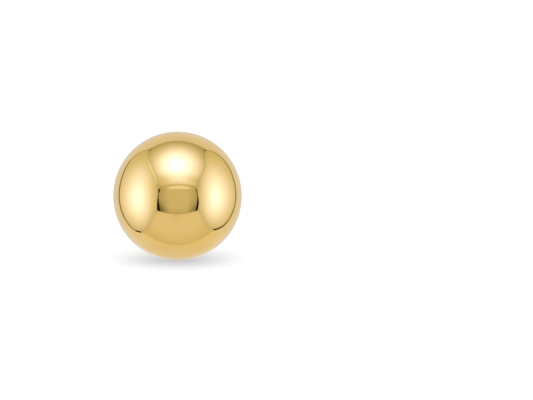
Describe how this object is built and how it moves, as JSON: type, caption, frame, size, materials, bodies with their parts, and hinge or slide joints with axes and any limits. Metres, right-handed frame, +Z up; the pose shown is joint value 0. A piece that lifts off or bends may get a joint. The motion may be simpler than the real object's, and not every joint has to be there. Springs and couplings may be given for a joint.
{
  "type": "ball stud earring",
  "caption": "Polished gold ball stud earring: a plain hollow ball on a straight soldered post, held behind a pierced ear lobe by a curled butterfly back.",
  "frame": {"origin": "on the table under the middle of the earring as it lies", "axes": "+Z up, +Y from the ball towards the tip of the post, +X to the right seen from the front of the ball"},
  "size_m": [0.008, 0.0178, 0.008],
  "materials": {
    "polished_gold": "mirror polished yellow gold",
    "stamped_gold": "stamped and barrel polished yellow gold sheet"
  },
  "bodies": {
    "root": {"ball_and_post": "polished_gold", "butterfly_back": "stamped_gold"}
  },
  "joints": []
}
